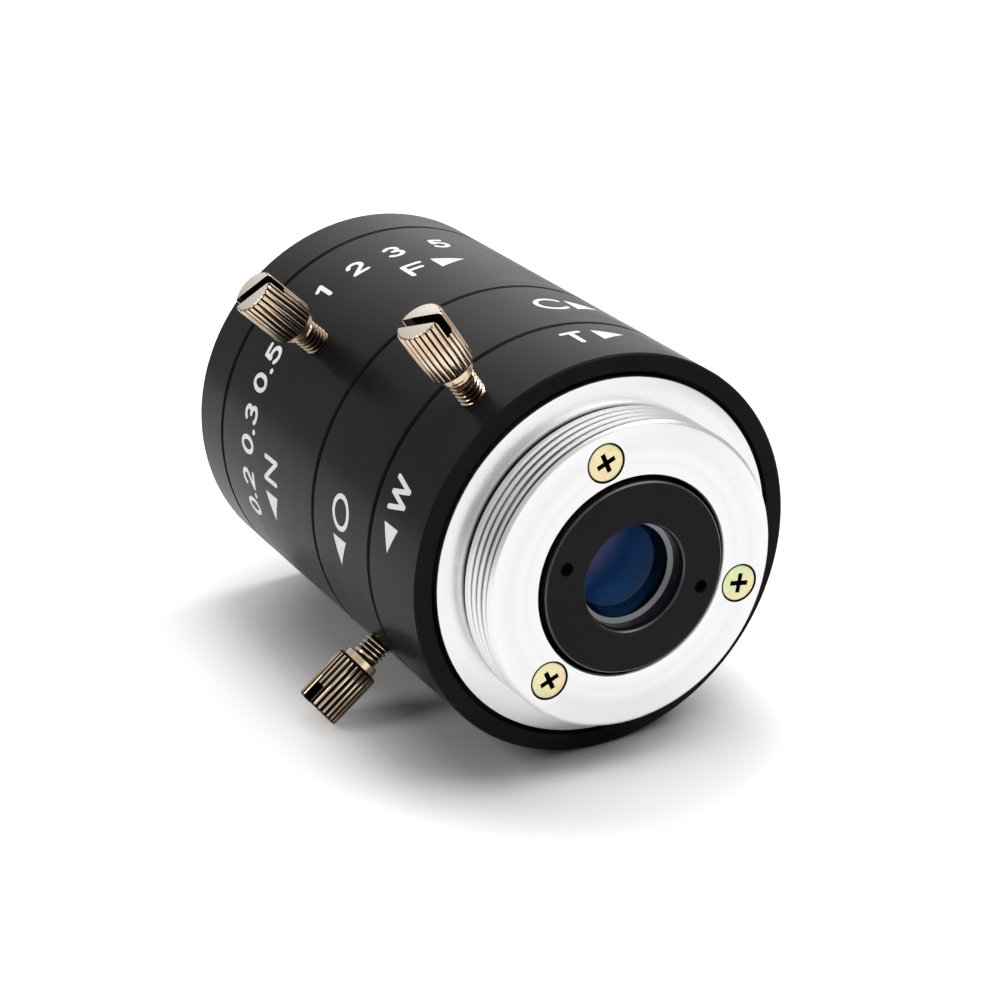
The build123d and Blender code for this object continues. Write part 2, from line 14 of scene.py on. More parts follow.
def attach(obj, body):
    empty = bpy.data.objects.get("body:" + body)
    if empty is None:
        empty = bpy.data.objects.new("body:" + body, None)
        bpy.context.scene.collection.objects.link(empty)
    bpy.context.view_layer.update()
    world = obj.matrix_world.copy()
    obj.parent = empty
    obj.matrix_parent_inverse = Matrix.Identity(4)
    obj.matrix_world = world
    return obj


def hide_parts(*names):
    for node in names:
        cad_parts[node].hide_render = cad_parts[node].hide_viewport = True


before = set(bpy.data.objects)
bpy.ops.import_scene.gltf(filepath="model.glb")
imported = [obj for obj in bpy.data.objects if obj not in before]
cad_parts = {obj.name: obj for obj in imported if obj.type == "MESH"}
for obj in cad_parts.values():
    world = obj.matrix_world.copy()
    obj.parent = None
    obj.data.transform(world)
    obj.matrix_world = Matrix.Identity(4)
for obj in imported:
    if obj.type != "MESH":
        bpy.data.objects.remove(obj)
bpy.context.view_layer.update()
mm = 0.001
plain_white = (1.0, 1.0, 1.0, 1.0)
square_corners = ((-1, -1), (1, -1), (1, 1), (-1, 1))

# The camera stands where the photographer stood: behind the mount, a little above it and
# to its left, with a long lens. The turning axis of the barrel points down to the right.
eye = Vector((0.15403, -0.09328, 0.08180))
sight = Vector((-0.8076, 0.4396, -0.3931))
focal_length = 90.62

camera_data = bpy.data.cameras.new("picture_camera")
camera_data.lens = focal_length
camera_data.sensor_width = 36.0
camera_data.clip_start = 0.005
camera_data.clip_end = 20.0
camera = bpy.data.objects.new("picture_camera", camera_data)
camera.location = eye
camera.rotation_euler = sight.to_track_quat("-Z", "Y").to_euler()
bpy.context.scene.collection.objects.link(camera)
bpy.context.scene.camera = camera
bpy.context.scene.view_settings.view_transform = "Standard"


# The table is a sheet of white paper that takes the soft shadow of the lens. What the camera
# and the shiny faces see of it turns as white as the backdrop a little way from the barrel.
table_z = -16.75 * mm
table_half = 0.17
paper_white = (0.86, 0.86, 0.87, 1.0)
paper_glow = 0.46
mirror_glow = 0.08
shaded_strip = (-28.0 * mm, 0.0)
shadow_reach = (10.0 * mm, 24.0 * mm)


def feed(tree, socket, value):
    """Links a value to a socket, or sets it there if it is a plain one."""
    if isinstance(value, bpy.types.NodeSocket):
        tree.links.new(value, socket)
    else:
        socket.default_value = value


def node(tree, kind, props=(), **inputs):
    """A shader node with its settings. Its inputs go by name, or as i0, i1 and so on."""
    made = tree.nodes.new("ShaderNode" + kind)
    for name, value in props:
        setattr(made, name, value)
    for name, value in inputs.items():
        key = int(name[1:]) if name[1:].isdigit() else name.replace("_", " ")
        feed(tree, made.inputs[key], value)
    return made


def math_node(tree, operation, *values):
    """The output of one Math node."""
    inputs = {f"i{k}": value for k, value in enumerate(values)}
    return node(tree, "Math", [("operation", operation)], **inputs).outputs[0]


def product(tree, first, *others):
    """Several values multiplied."""
    for other in others:
        first = math_node(tree, "MULTIPLY", first, other)
    return first


def vector_math(tree, operation, **inputs):
    """One Vector Math node."""
    return node(tree, "VectorMath", [("operation", operation)], **inputs)


def spread_value(tree, value, low, high, start=0.3, end=0.7, ease="LINEAR"):
    """A value from start to end, spread from low to high."""
    return node(
        tree, "MapRange", [("interpolation_type", ease)],
        Value=value, From_Min=start, From_Max=end, To_Min=low, To_Max=high,
    ).outputs[0]


def from_axis(tree, place, axis="X"):
    """The three parts of a place, and its distance from an axis."""
    parts = node(tree, "SeparateXYZ", Vector=place)
    first, second = (name for name in "XYZ" if name != axis)
    across = node(tree, "CombineXYZ", X=parts.outputs[first], Y=parts.outputs[second])
    return parts, vector_math(tree, "LENGTH", i0=across.outputs[0]).outputs["Value"]


def seen_rays(tree):
    """1 for rays that come from the camera, and 1 for those off a shiny face or through glass."""
    rays = node(tree, "LightPath").outputs
    shiny = math_node(tree, "MAXIMUM", rays["Is Glossy Ray"], rays["Is Transmission Ray"])
    return rays["Is Camera Ray"], shiny


def blend_colour(tree, share, low, high):
    """The colour part of the way from one colour to another."""
    mix = tree.nodes.new("ShaderNodeMix")
    mix.data_type = "RGBA"
    for socket, value in ((mix.inputs[0], share), (mix.inputs[6], low), (mix.inputs[7], high)):
        feed(tree, socket, value)
    return mix.outputs[2]


def new_object(name, mesh):
    """A mesh object in the scene, with its place in its vertices."""
    made = bpy.data.objects.new(name, mesh)
    bpy.context.scene.collection.objects.link(made)
    return made


paper_mesh = bpy.data.meshes.new("table_paper")
paper_mesh.from_pydata(
    [(x * table_half, y * table_half, table_z) for x, y in square_corners],
    [], [(0, 1, 2, 3)],
)
paper = new_object("table_paper", paper_mesh)
paper_material = bpy.data.materials.new("white_paper")
paper_material.use_nodes = True
tree = paper_material.node_tree
tree.nodes.clear()
paper_fibre = node(tree, "TexNoise", Scale=900.0, Detail=3.0)
paper_bump = node(tree, "Bump", Strength=0.04, Distance=0.00005, Height=paper_fibre.outputs[0])
camera_ray, shiny_ray = seen_rays(tree)
seen_ray = math_node(tree, "MAXIMUM", camera_ray, shiny_ray)
paper_tone = blend_colour(tree, seen_ray, paper_white, plain_white)
paper_shade = node(tree, "BsdfDiffuse", Color=paper_tone, Normal=paper_bump.outputs[0])
paper_place = node(tree, "SeparateXYZ", Vector=node(tree, "TexCoord").outputs["Object"])
strip_x = node(
    tree, "Clamp", Value=paper_place.outputs["X"], Min=shaded_strip[0], Max=shaded_strip[1],
).outputs[0]
past_strip = math_node(tree, "SUBTRACT", paper_place.outputs["X"], strip_x)
from_strip = node(tree, "CombineXYZ", X=past_strip, Y=paper_place.outputs["Y"])
off_strip = vector_math(tree, "LENGTH", i0=from_strip.outputs[0]).outputs["Value"]
clear_of_it = spread_value(tree, off_strip, 0.0, 1.0, *shadow_reach, "SMOOTHSTEP")
shiny_glow = product(tree, shiny_ray, mirror_glow)
ray_glow = math_node(tree, "MULTIPLY_ADD", camera_ray, paper_glow, shiny_glow)
paper_light = node(tree, "Emission", Color=plain_white, Strength=product(tree, ray_glow, clear_of_it))
paper_sum = node(tree, "AddShader", i0=paper_shade.outputs[0], i1=paper_light.outputs[0])
node(tree, "OutputMaterial", Surface=paper_sum.outputs[0])
paper_mesh.materials.append(paper_material)


# The studio: a white room that the camera sees as plain white. What shines sees that it is
# brightest behind the lens and above it, that it has a white wall in front of the mount, and
# that the rest of it is dimmer.
room_light = 0.16
room_tint = (0.97, 0.98, 1.0, 1.0)
dim_tone = 0.50
bright_tone = 1.30
bright_side = Vector((-0.78, 0.38, 0.50)).normalized()
bright_span = (0.74, 1.05)
wall_tone = 0.55
wall_side = Vector((0.93, 0.28, 0.20)).normalized()
wall_span = (0.80, 0.96)

world = bpy.data.worlds.new("white_room")
bpy.context.scene.world = world
world.use_nodes = True
tree = world.node_tree
tree.nodes.clear()
room_way = node(tree, "TexCoord").outputs["Generated"]
to_bright = vector_math(tree, "DOT_PRODUCT", i0=room_way, i1=bright_side).outputs["Value"]
room_tone = spread_value(tree, to_bright, dim_tone, bright_tone, *bright_span, "SMOOTHSTEP")
to_wall = vector_math(tree, "DOT_PRODUCT", i0=room_way, i1=wall_side).outputs["Value"]
wall = spread_value(tree, to_wall, 0.0, wall_tone, *wall_span, "SMOOTHSTEP")
room_seen = math_node(tree, "ADD", room_tone, wall)
room_ray, mirror_ray = seen_rays(tree)
room_plain = node(tree, "Background", Color=room_tint, Strength=room_light)
room_mirror = node(tree, "Background", Color=plain_white, Strength=room_seen)
room_white = node(tree, "Background", Color=plain_white, Strength=1.0)
room_mix = node(tree, "MixShader", Fac=mirror_ray, i1=room_plain.outputs[0], i2=room_mirror.outputs[0])
room_all = node(tree, "MixShader", Fac=room_ray, i1=room_mix.outputs[0], i2=room_white.outputs[0])
node(tree, "OutputWorld", Surface=room_all.outputs[0])


# Two soft boxes: the large one hangs above and to the right, and throws the shadow down
# to the left, and a small one at the left picks out the knurled screws. Each is given by its
# place and width in metres, its power in watts and its tint.
lit_spot = Vector((-0.02, 0, 0))
soft_boxes = (
    ("large_soft_box", (0.03, 0.26, 0.62), 0.70, 4.75, (1.0, 0.99, 0.98)),
    ("small_soft_box", (-0.10, -0.50, 0.38), 0.25, 0.7, (1.0, 0.98, 0.95)),
)
for name, place, width, power, tint in soft_boxes:
    lamp_data = bpy.data.lights.new(name, "AREA")
    lamp_data.shape = "SQUARE"
    lamp_data.size = width
    lamp_data.energy = power
    lamp_data.color = tint
    lamp = bpy.data.objects.new(name, lamp_data)
    lamp.location = place
    lamp.rotation_euler = (lit_spot - Vector(place)).to_track_quat("-Z", "Y").to_euler()
    bpy.context.scene.collection.objects.link(lamp)


# The fixed barrel, the three outer rings and the bezel are turned from aluminium, blasted
# and anodised black. Their finish is a satin with a fine grain and hardly any tool marks.
anodised_black = (0.0105, 0.0098, 0.0106, 1.0)
anodised_faded = (0.0168, 0.0158, 0.0164, 1.0)
worn_edge = (0.06, 0.058, 0.056, 1.0)
streak_scale = 0.13
tool_mark_share = 0.12
chamfer_rise = (0.45, 0.62)
chamfer_fall = (0.80, 0.95)


def socket_group(name, inputs, outputs):
    """An empty node group with named sockets, and its two end nodes."""
    group = bpy.data.node_groups.new(name, "ShaderNodeTree")
    for label, kind, value in inputs:
        socket = group.interface.new_socket(name=label, in_out="INPUT", socket_type=kind)
        if value is not None:
            socket.default_value = value
    for label, kind in outputs:
        group.interface.new_socket(name=label, in_out="OUTPUT", socket_type=kind)
    return group, group.nodes.new("NodeGroupInput"), group.nodes.new("NodeGroupOutput")


def turned_marks():
    """Fine circular tool marks about the X axis, on round and on flat faces alike."""
    group, given, result = socket_group(
        "turned_marks",
        [("Place", "NodeSocketVector", None), ("Marks per mm", "NodeSocketFloat", 5.0)],
        [("Height", "NodeSocketFloat"), ("Streak", "NodeSocketFloat")],
    )
    parts, radius = from_axis(group, given.outputs["Place"])
    unrolled = node(group, "CombineXYZ", X=parts.outputs["X"], Y=radius)
    per_metre = math_node(group, "MULTIPLY", given.outputs["Marks per mm"], 1000.0)
    fine = vector_math(group, "SCALE", i0=unrolled.outputs[0], Scale=per_metre).outputs[0]
    wide = vector_math(group, "SCALE", i0=fine, Scale=streak_scale).outputs[0]
    flat = [("noise_dimensions", "2D")]
    for label, place, detail in (("Height", fine, 3.0), ("Streak", wide, 2.0)):
        marks = node(group, "TexNoise", flat, Vector=place, Scale=1.0, Detail=detail)
        group.links.new(marks.outputs[0], result.inputs[label])
    return group


def blasted_grain():
    """The even grain that blasting leaves, and a slow drift of its tone."""
    group, given, result = socket_group(
        "blasted_grain",
        [("Place", "NodeSocketVector", None), ("Grain per mm", "NodeSocketFloat", 6.0)],
        [("Height", "NodeSocketFloat"), ("Drift", "NodeSocketFloat")],
    )
    per_metre = math_node(group, "MULTIPLY", given.outputs["Grain per mm"], 1000.0)
    place = given.outputs["Place"]
    grain = node(group, "TexNoise", Vector=place, Scale=per_metre, Detail=2.0)
    drift = node(group, "TexNoise", Vector=place, Scale=160.0, Detail=4.0, Roughness=0.6)
    group.links.new(grain.outputs[0], result.inputs["Height"])
    group.links.new(drift.outputs[0], result.inputs["Drift"])
    return group


def corner_wear():
    """Where the small chamfers of a part turned about X have been rubbed brighter."""
    group, given, result = socket_group(
        "corner_wear",
        [("Place", "NodeSocketVector", None), ("Amount", "NodeSocketFloat", 0.5)],
        [("Mask", "NodeSocketFloat")],
    )
    facing = node(group, "SeparateXYZ", Vector=node(group, "NewGeometry").outputs["True Normal"])
    slant = math_node(group, "ABSOLUTE", facing.outputs["X"])
    rise = spread_value(group, slant, 0.0, 1.0, *chamfer_rise)
    fall = spread_value(group, slant, 1.0, 0.0, *chamfer_fall)
    rub = node(group, "TexNoise", Vector=given.outputs["Place"], Scale=700.0, Detail=5.0, Roughness=0.7)
    patchy = spread_value(group, rub.outputs[0], 0.0, 1.0, 0.42, 0.62)
    group.links.new(product(group, rise, fall, patchy, given.outputs["Amount"]), result.inputs["Mask"])
    return group


tool_marks = turned_marks()
fine_grain = blasted_grain()
rubbed_corners = corner_wear()


def placed(tree, group, **inputs):
    """A node group placed in a material."""
    made = tree.nodes.new("ShaderNodeGroup")
    made.node_tree = group
    for name, value in inputs.items():
        feed(tree, made.inputs[name.replace("_", " ")], value)
    return made


def new_material(name, **plain):
    """A material with its surface shader, whose plain values are set on its own sockets."""
    made = bpy.data.materials.new(name)
    made.use_nodes = True
    shader = made.node_tree.nodes["Principled BSDF"]
    for label, value in plain.items():
        shader.inputs[label.replace("_", " ")].default_value = value
    return made, made.node_tree, shader


def anodised(name, dark, faded, low, high, wear, grain_height, gloss=(0.12, 0.04), turn=(0.50, 0.75)):
    """Black anodising: its tone drifts a little, its corners are rubbed and it has a fine grain.

    Its roughness runs from low to high, and its gloss from the first value on round faces to
    the second on flat ones, over the slants in turn.
    """
    made, tree, shader = new_material(name)
    facing = node(tree, "SeparateXYZ", Vector=node(tree, "NewGeometry").outputs["True Normal"])
    flat = spread_value(tree, math_node(tree, "ABSOLUTE", facing.outputs["X"]), *gloss, *turn)
    tree.links.new(flat, shader.inputs["Specular IOR Level"])
    place = node(tree, "TexCoord").outputs["Object"]
    grain = placed(tree, fine_grain, Place=place, Grain_per_mm=5.0)
    marks = placed(tree, tool_marks, Place=place, Marks_per_mm=4.0)
    rubbed = placed(tree, rubbed_corners, Place=place, Amount=wear)
    tone = blend_colour(tree, spread_value(tree, grain.outputs["Drift"], 0.0, 1.0), dark, faded)
    colour = blend_colour(tree, rubbed.outputs["Mask"], tone, worn_edge)
    tree.links.new(colour, shader.inputs["Base Color"])
    shine = spread_value(tree, marks.outputs["Streak"], low, high)
    tree.links.new(shine, shader.inputs["Roughness"])
    height = marks.outputs["Height"]
    both = math_node(tree, "MULTIPLY_ADD", height, tool_mark_share, grain.outputs["Height"])
    bump = node(tree, "Bump", Strength=0.5, Distance=grain_height, Height=both)
    tree.links.new(bump.outputs[0], shader.inputs["Normal"])
    return made


satin_black = anodised(
    "satin_black_anodising", anodised_black, anodised_faded,
    low=0.23, high=0.28, wear=0.02, grain_height=0.000002,
)


def dress(material, *nodes):
    """Gives solids that stay as they are their finish."""
    for name in nodes:
        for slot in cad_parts[name].material_slots:
            slot.material = material


dress(satin_black, "main_barrel", "focus_ring", "iris_ring", "zoom_ring", "front_bezel")


# The marks on the three rings are engraved lines filled with white enamel: a letter and an
# arrow for each way of turning, and plain distance numbers in metres on the focus ring.
ring_r = 16.75
enamel_lift = 0.012
enamel_depth = 0.03
stroke = 0.42
enamel_white = (0.95, 0.95, 0.94, 1.0)
enamel_soiled = (0.86, 0.85, 0.83, 1.0)
dot_corners = 16
dot_share = 0.6
cap_steps = 8


def arc(cx, cy, rx, ry, start, end, steps):
    """Points on an ellipse between two angles, both in degrees from the right."""
    turns = [radians(start + (end - start) * k / steps) for k in range(steps + 1)]
    return [(cx + rx * cos(t), cy + ry * sin(t)) for t in turns]


# Each letter is its width and a list of strokes, for a height of one.
glyphs = {
    "N": (0.86, [[(0, 0), (0, 1)], [(0, 1), (0.86, 0)], [(0.86, 0), (0.86, 1)]]),
    "F": (0.72, [[(0, 0), (0, 1)], [(0, 1), (0.72, 1)], [(0, 0.53), (0.60, 0.53)]]),
    "O": (1.06, [arc(0.53, 0.5, 0.53, 0.5, 0, 360, 40)]),
    "C": (0.98, [arc(0.53, 0.5, 0.53, 0.5, 42, 318, 30)]),
    "W": (1.14, [
        [(0, 1), (0.28, 0)], [(0.28, 0), (0.57, 1)], [(0.57, 1), (0.86, 0)], [(0.86, 0), (1.14, 1)],
    ]),
    "T": (0.66, [[(0, 1), (0.66, 1)], [(0.33, 1), (0.33, 0)]]),
    "0": (0.62, [arc(0.31, 0.5, 0.31, 0.5, 0, 360, 32)]),
    "1": (0.30, [[(0.30, 0), (0.30, 1)], [(0.30, 1), (0.02, 0.78)]]),
    "2": (0.62, [
        arc(0.31, 0.70, 0.30, 0.30, 165, -35, 14), [(0.556, 0.528), (0.0, 0.0)], [(0, 0), (0.62, 0)],
    ]),
    "3": (0.60, [
        arc(0.28, 0.755, 0.27, 0.245, 150, -88, 14), arc(0.28, 0.265, 0.32, 0.265, 88, -150, 16),
    ]),
    "5": (0.60, [
        [(0.56, 1), (0.10, 1)], [(0.10, 1), (0.05, 0.56)], arc(0.28, 0.32, 0.32, 0.32, 135, -150, 18),
    ]),
    ".": (0.0, [[(0, 0)]]),
}


def ribbon(points, width, spacing=0.22):
    """Corners and faces of a round-ended line of even width that is drawn along points."""
    if len(points) == 1:
        around = [radians(360 * k / dot_corners) for k in range(dot_corners)]
        dot = [Vector(points[0]) + Vector((cos(t), sin(t))) * width * dot_share for t in around]
        return dot, [tuple(range(dot_corners))]
    path = [Vector(points[0])]
    for p in points[1:]:
        step = Vector(p) - path[-1]
        count = max(1, int(step.length / spacing))
        path += [path[-1] + step * k / count for k in range(1, count + 1)]
    half = width / 2
    corners = []
    faces = []
    sides = []
    for k, p in enumerate(path):
        along = (path[min(k + 1, len(path) - 1)] - path[max(k - 1, 0)]).normalized()
        out = Vector((-along.y, along.x)) * half
        sides.append((len(corners), len(corners) + 1))
        corners += [p + out, p - out]
    for (a, b), (c, d) in zip(sides, sides[1:]):
        faces.append((a, b, d, c))
    if (path[0] - path[-1]).length > width / 4:
        fan = [radians(-90 + 180 * k / cap_steps) for k in range(1, cap_steps)]
        for centre, inner, (before, after) in (
            (path[0], path[1], sides[0]), (path[-1], path[-2], sides[-1][::-1]),
        ):
            way = centre - inner
            heading = atan2(way.y, way.x)
            first = len(corners)
            corners += [centre + Vector((cos(heading + t), sin(heading + t))) * half for t in fan]
            faces.append((before, *range(first, len(corners)), after))
    return corners, faces


def arrow(length, height, pointing):
    """A filled arrowhead in slices, so that it can bend round a ring."""
    slices = 8
    corners = []
    for k in range(slices + 1):
        u = length * k / slices
        v = height / 2 * max(k / slices, 0.02)
        corners += [Vector((pointing * -u, v)), Vector((pointing * -u, -v))]
    return corners, [(2 * k, 2 * k + 1, 2 * k + 3, 2 * k + 2) for k in range(slices)]


def word(text, height, gap=0.34):
    """The strokes of a word, centred on its middle."""
    scale = height - stroke
    cursor = 0.0
    lines = []
    for letter in text:
        width, strokes = glyphs[letter]
        for line in strokes:
            lines.append([(cursor + u * scale, v * scale - scale / 2) for u, v in line])
        cursor += width * scale + gap + stroke
    total = cursor - gap - stroke
    return [[(u - total / 2, v) for u, v in line] for line in lines]


def on_ring(name, body, shapes):
    """Lays flat shapes on a ring. Each is (corners, faces, x, clock) in millimetres and degrees."""
    bm = bmesh.new()
    for count, (corners, faces, x, clock) in enumerate(shapes):
        r = ring_r + enamel_lift + 0.0015 * (count % 4)
        layers = []
        for level in (r, r - enamel_depth):
            ring = []
            for c in corners:
                turn = radians(clock) - c.x / ring_r
                y, z = -level * sin(turn), level * cos(turn)
                ring.append(bm.verts.new(((x - c.y) * mm, y * mm, z * mm)))
            layers.append(ring)
        top, bottom = layers
        for face in faces:
            bm.faces.new([top[k] for k in face])
            bm.faces.new([bottom[k] for k in reversed(face)])
        edges = dict.fromkeys(edge for face in faces for edge in zip(face, face[1:] + face[:1]))
        for a, b in edges:
            if (b, a) not in edges:
                bm.faces.new((top[b], top[a], bottom[a], bottom[b]))
    bmesh.ops.recalc_face_normals(bm, faces=bm.faces)
    mesh = bpy.data.meshes.new(name)
    bm.to_mesh(mesh)
    bm.free()
    mesh.materials.append(glowing_white_enamel)
    made = new_object(name, mesh)
    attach(made, body)


# The enamel also glows a little, though it is no lamp: painted light that keeps it white.
glowing_white_enamel, tree, shader = new_material(
    "glowing_white_enamel", IOR=1.5, Emission_Color=(1.0, 1.0, 0.99, 1.0), Emission_Strength=0.18,
)
place = node(tree, "TexCoord").outputs["Object"]
soil = node(tree, "TexNoise", Vector=place, Scale=1400.0, Detail=4.0, Roughness=0.65)
soiled = spread_value(tree, soil.outputs[0], 1.0, 0.0, 0.30, 0.45)
tree.links.new(blend_colour(tree, soiled, enamel_white, enamel_soiled), shader.inputs["Base Color"])
tree.links.new(spread_value(tree, soil.outputs[0], 0.32, 0.5), shader.inputs["Roughness"])
enamel_bump = node(tree, "Bump", Strength=0.3, Distance=0.000006, Height=soil.outputs[0])
tree.links.new(enamel_bump.outputs[0], shader.inputs["Normal"])


def letters(text, x, clock, height):
    """A word as shapes for a ring, centred on a place."""
    return [(*ribbon(line, stroke), x, clock) for line in word(text, height)]


# (letter, clock of its middle, arrow's tip clock, arrow's base clock) for both ways of each ring
focus_signs = (("N", 87.0, 103.0, 94.5), ("F", 9.5, -6.0, 3.0))
iris_signs = (("O", 82.5, 98.0, 90.0), ("C", -8.5, -24.0, -15.0))
zoom_signs = (("W", 67.0, 83.0, 75.5), ("T", 0.0, -14.5, -6.5))
distance_numbers = (
    ("0.2", 100.0), ("0.3", 80.0), ("0.5", 61.0), ("1", 33.5), ("2", 21.0), ("3", 8.5), ("5", -6.5),
)
number_x = -31.85
number_height = 2.45


def signs(rows, x, height, arrow_height):
    """The letters and arrows of one ring."""
    shapes = []
    for letter, clock, tip, base in rows:
        shapes += letters(letter, x, clock, height)
        length = radians(abs(base - tip)) * ring_r
        shapes.append((*arrow(length, arrow_height, -1 if tip > base else 1), x, tip))
    return shapes


focus_shapes = signs(focus_signs, x=-26.95, height=2.65, arrow_height=2.35)
for text, clock in distance_numbers:
    focus_shapes += letters(text, number_x, clock, number_height)
on_ring("focus_ring_marks", "focus_ring", focus_shapes)
on_ring("iris_ring_marks", "iris_ring", signs(iris_signs, x=-13.35, height=2.95, arrow_height=2.35))
on_ring("zoom_ring_marks", "zoom_ring", signs(zoom_signs, x=-4.95, height=2.6, arrow_height=2.25))


# The mount is turned from bright aluminium in one piece: a flange, a 1 inch thread with 32
# turns to the inch, and a faced end with three countersinks. Its tool marks still show.
thread_r = 12.7
thread_length = 4.1
thread_pitch = 0.794
thread_depth = 0.42
core_r = thread_r - thread_depth
thread_start = 0.42
thread_end = 3.85
end_chamfer = 0.25
flange_r = 14.9
flange_thickness = 1.5
flange_chamfer = 0.12
mount_bore_r = 8.3
mount_segments = 288
bright_aluminium_colour = (0.94, 0.94, 0.94, 1.0)
dull_aluminium_colour = (0.88, 0.88, 0.89, 1.0)
painted_root_shade = (0.03, 0.03, 0.032, 1.0)


def about_x(x, r, turn):
    """A point at distance r from the X axis, from millimetres to metres."""
    return (x * mm, r * cos(turn) * mm, r * sin(turn) * mm)


def about_z(z, r, turn):
    """A point at distance r from the Z axis, from millimetres to metres."""
    return (r * cos(turn) * mm, r * sin(turn) * mm, z * mm)


def lathe(bm, profile, segments, point):
    """Turns a profile of (along, radius) corners round the axis into bm."""
    rings = []
    turns = [2 * pi * k / segments for k in range(segments)]
    for along, r in profile:
        if r == 0:
            rings.append([bm.verts.new(point(along, 0, 0))])
        else:
            rings.append([bm.verts.new(point(along, r, turn)) for turn in turns])
    for a, b in zip(rings, rings[1:]):
        for k in range(segments):
            n = (k + 1) % segments
            corners = [a[k % len(a)], a[n % len(a)], b[n % len(b)], b[k % len(b)]]
            unique = [v for i, v in enumerate(corners) if v not in corners[:i]]
            bm.faces.new(unique)


def thread(bm, start, end, crest, depth, pitch, segments, point):
    """A screw thread as one helical surface that runs out into a plain rim at both ends."""
    shares = ((0.0, 0.0), (0.12, 0.0), (0.44, 1.0), (0.58, 1.0), (0.90, 0.0))
    turns = int((end - start) / pitch) + 3
    run_out = 0.5 * pitch
    columns = []
    for k in range(segments + 1):
        lead = pitch * k / segments
        column = []
        for whole in range(turns):
            for share, sink in shares:
                along = start + pitch * (whole - 1 + share) + lead
                fade = min(1.0, max(0.0, min(along - start, end - along)) / run_out)
                inside = min(max(along, start), end)
                r = crest - depth * sink * fade
                column.append(bm.verts.new(point(inside, r, 2 * pi * k / segments)))
        columns.append(column)
    for a, b in zip(columns, columns[1:]):
        for k in range(len(a) - 1):
            bm.faces.new((a[k], b[k], b[k + 1], a[k + 1]))


def finished_mesh(name, bm, smooth_angle=32.0):
    """A clean mesh from bm: joined, facing outwards, smooth except at its sharp edges."""
    bmesh.ops.remove_doubles(bm, verts=bm.verts, dist=2e-7)
    bmesh.ops.dissolve_degenerate(bm, edges=bm.edges, dist=1e-7)
    bmesh.ops.recalc_face_normals(bm, faces=bm.faces)
    mesh = bpy.data.meshes.new(name)
    bm.to_mesh(mesh)
    bm.free()
    mesh.shade_smooth()
    mesh.set_sharp_from_angle(angle=radians(smooth_angle))
    return mesh


def cut_away(piece, tools, smooth_angle=32.0):
    """Cuts tools, which are lost, out of a piece."""
    for tool in tools:
        step = piece.modifiers.new("cut", "BOOLEAN")
        step.operation = "DIFFERENCE"
        step.solver = "EXACT"
        step.object = tool
    graph = bpy.context.evaluated_depsgraph_get()
    mesh = bpy.data.meshes.new_from_object(piece.evaluated_get(graph))
    piece.modifiers.clear()
    piece.data = mesh
    mesh.shade_smooth()
    mesh.set_sharp_from_angle(angle=radians(smooth_angle))
    for tool in tools:
        bpy.data.objects.remove(tool)


def bright_metal(name, bright, dull, low, high, mark_height, marks_per_mm):
    """Bare turned metal with circular tool marks about X. Its roughness runs from low to high."""
    made, tree, shader = new_material(name, Metallic=1.0)
    place = node(tree, "TexCoord").outputs["Object"]
    marks = placed(tree, tool_marks, Place=place, Marks_per_mm=marks_per_mm)
    grain = placed(tree, fine_grain, Place=place, Grain_per_mm=4.0)
    tone = blend_colour(tree, spread_value(tree, marks.outputs["Streak"], 0.0, 1.0), bright, dull)
    tree.links.new(tone, shader.inputs["Base Color"])
    tree.links.new(spread_value(tree, grain.outputs["Drift"], low, high), shader.inputs["Roughness"])
    bump = node(tree, "Bump", Strength=0.6, Distance=mark_height, Height=marks.outputs["Height"])
    tree.links.new(bump.outputs[0], shader.inputs["Normal"])
    return made


def overlaid(material, share, colour):
    """Lays a colour over the one that a material has."""
    tree = material.node_tree
    surface = tree.nodes["Principled BSDF"].inputs["Base Color"]
    below = surface.links[0].from_socket
    tree.links.new(blend_colour(tree, share, below, colour), surface)


screw_circle_r = 10.28
screw_clocks = (14.5, 134.5, 254.5)
screw_head_r = 1.55
screw_head_gap = 0.09
screw_shank_r = 0.8
screw_reach = 7.0
sink_r = screw_head_r + screw_head_gap
sink_top = 5.1
hole_r = screw_shank_r + 0.1
hole_end = -3.0


def beside_axis(name, profile, clock, segments=64):
    """A turned piece whose own axis is parallel to X, on the circle of the mount's screws."""
    bm = bmesh.new()
    lathe(bm, profile, segments, about_x)
    bmesh.ops.translate(bm, verts=bm.verts, vec=(0, 0, screw_circle_r * mm))
    bmesh.ops.rotate(bm, verts=bm.verts, cent=(0, 0, 0), matrix=Matrix.Rotation(radians(clock), 3, "X"))
    return new_object(name, finished_mesh(name, bm))


bm = bmesh.new()
lathe(
    bm,
    [
        (thread_start, thread_r),
        (0.30, core_r),
        (0.0, core_r),
        (0.0, flange_r - flange_chamfer),
        (-0.04, flange_r - 0.04),
        (-flange_chamfer, flange_r),
        (-flange_thickness + flange_chamfer, flange_r),
        (-flange_thickness, flange_r - flange_chamfer),
        (-flange_thickness, mount_bore_r),
        (thread_length - 0.1, mount_bore_r),
        (thread_length, mount_bore_r + 0.1),
        (thread_length, thread_r - end_chamfer - 0.05),
        (thread_length - 0.02, thread_r - end_chamfer),
        (thread_end + 0.02, thread_r - 0.02),
        (thread_end, thread_r),
    ],
    mount_segments, about_x,
)
thread(bm, thread_start, thread_end, thread_r, thread_depth, thread_pitch, mount_segments, about_x)
mount = new_object("bright_mount", finished_mesh("bright_mount", bm))
sinks = [
    beside_axis(
        f"countersink_{k}",
        [
            (sink_top, 0), (sink_top, sink_r), (thread_length, sink_r),
            (thread_length - sink_r + hole_r, hole_r), (hole_end, hole_r), (hole_end, 0),
        ],
        clock,
    )
    for k, clock in enumerate(screw_clocks)
]
bpy.context.view_layer.update()
cut_away(mount, sinks)
